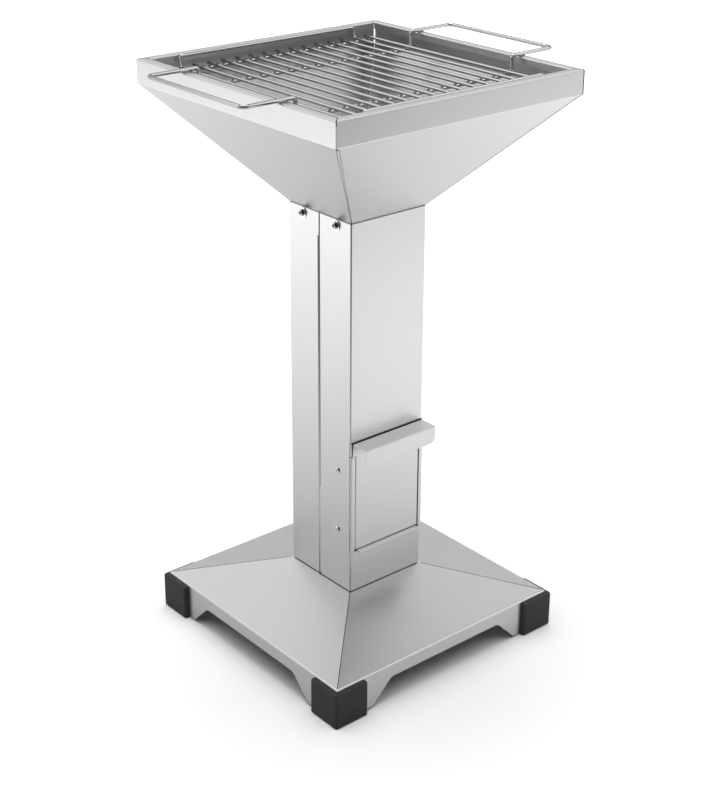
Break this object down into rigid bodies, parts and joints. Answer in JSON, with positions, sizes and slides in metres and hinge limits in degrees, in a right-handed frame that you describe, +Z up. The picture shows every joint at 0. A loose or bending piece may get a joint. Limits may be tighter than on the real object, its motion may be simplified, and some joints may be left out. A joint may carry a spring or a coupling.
{
  "type": "pillar charcoal grill",
  "caption": "Square charcoal grill on a folded steel column and pyramid base, with a lift-out wire cooking grate with side handles and a sliding ash drawer.",
  "frame": {"origin": "on the floor under the middle of the base, at the bottom centre of the bounding box", "axes": "+Z up, -Y towards the ash drawer, +X to the right of somebody who faces the drawer, along the line through the two grate handles"},
  "size_m": [0.475, 0.376, 0.76],
  "materials": {
    "stainless_sheet": "satin folded stainless sheet",
    "chrome_wire": "bright plated wire",
    "bright_fastener": "bright screw steel",
    "black_rubber": "matte moulded rubber"
  },
  "bodies": {
    "stand": {"base_shell": "stainless_sheet", "foot_front_left": "black_rubber", "foot_front_right": "black_rubber", "foot_rear_left": "black_rubber", "foot_rear_right": "black_rubber", "column_front_shell": "stainless_sheet", "column_rear_shell": "stainless_sheet", "drawer_housing": "stainless_sheet", "housing_rivets": "bright_fastener", "base_bolts": "bright_fastener", "base_nuts": "bright_fastener", "bowl_front_panel": "stainless_sheet", "bowl_rear_panel": "stainless_sheet", "bowl_left_panel": "stainless_sheet", "bowl_right_panel": "stainless_sheet", "bowl_corner_straps": "stainless_sheet", "bowl_bolts": "bright_fastener", "bowl_washers": "bright_fastener", "bowl_nuts": "bright_fastener"},
    "ash_drawer": {"ash_box": "stainless_sheet", "ash_drawer_front": "stainless_sheet"},
    "charcoal_grate": {"charcoal_bars": "chrome_wire", "charcoal_rods": "chrome_wire"},
    "cooking_grate": {"grate_bars": "chrome_wire", "grate_cross_rods": "chrome_wire", "grate_guard_wire": "chrome_wire", "grate_handle_left": "chrome_wire", "grate_handle_right": "chrome_wire"}
  },
  "joints": [
    {"name": "ash_drawer_slide", "type": "slide", "parent": "stand", "child": "ash_drawer", "axis": [0, -1, 0], "range_m": [0, 0.09]},
    {"name": "charcoal_grate_lift", "type": "slide", "parent": "stand", "child": "charcoal_grate", "axis": [0, 0, 1], "range_m": [0, 0.08]},
    {"name": "cooking_grate_lift", "type": "slide", "parent": "stand", "child": "cooking_grate", "axis": [0, 0, 1], "range_m": [0, 0.15]}
  ]
}
